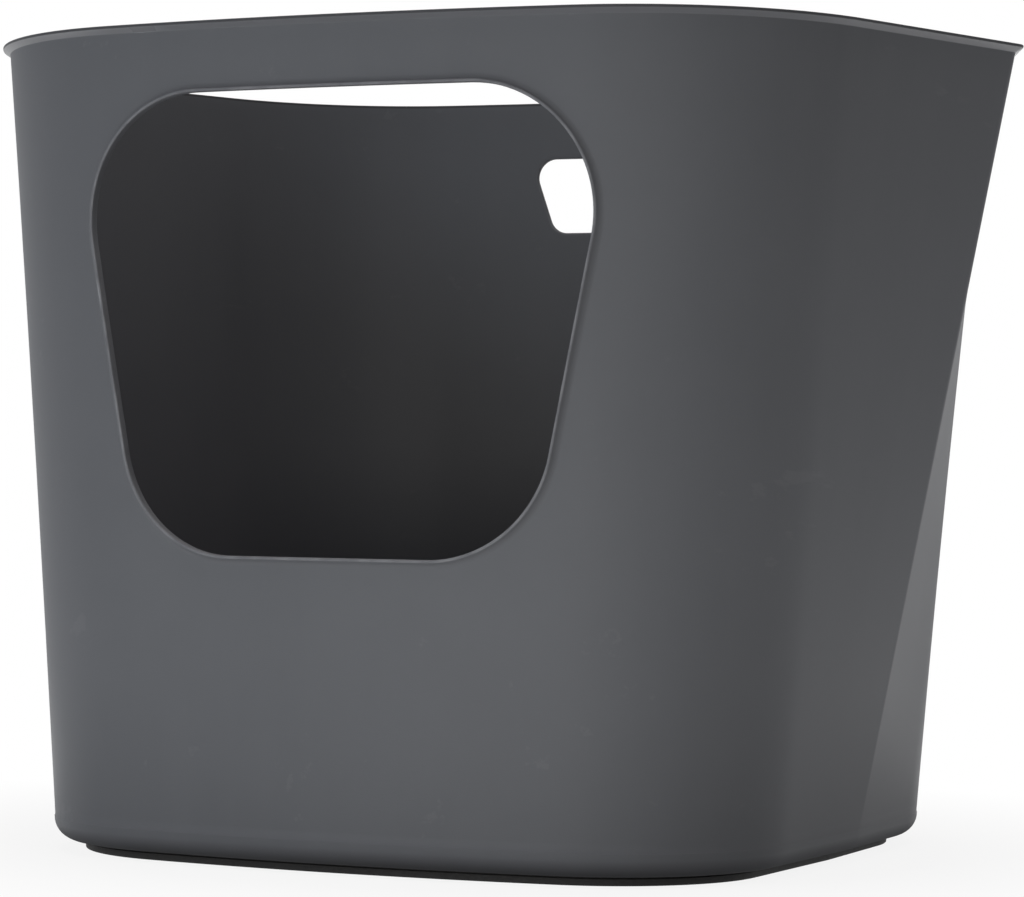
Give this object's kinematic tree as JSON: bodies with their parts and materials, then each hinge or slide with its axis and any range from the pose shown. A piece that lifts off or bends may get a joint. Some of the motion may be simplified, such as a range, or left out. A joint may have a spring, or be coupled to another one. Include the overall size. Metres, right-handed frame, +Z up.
{
  "type": "front-entry litter box",
  "caption": "Tall open-topped litter bin with creased tapering sides, a rounded front entry, a rear grip slot, a non-slip foot ring and a lift-out litter tray.",
  "frame": {"origin": "on the floor, under the middle of the bin", "axes": "+Z up, the entry faces -Y, +X to the right of someone who faces the entry"},
  "size_m": [0.5278, 0.3916, 0.39],
  "materials": {
    "bin_plastic": "satin dark slate-grey polypropylene with a fine moulded texture",
    "foot_rubber": "matt black non-slip rubber",
    "tray_plastic": "satin dark slate-grey polypropylene, smooth inside"
  },
  "bodies": {
    "bin": {"bin_shell": "bin_plastic", "non_slip_foot_ring": "foot_rubber"},
    "tray": {"litter_tray": "tray_plastic"}
  },
  "joints": [
    {"name": "tray_lift", "type": "slide", "parent": "bin", "child": "tray", "axis": [0, 0, 1], "range_m": [0, 0.4]}
  ]
}
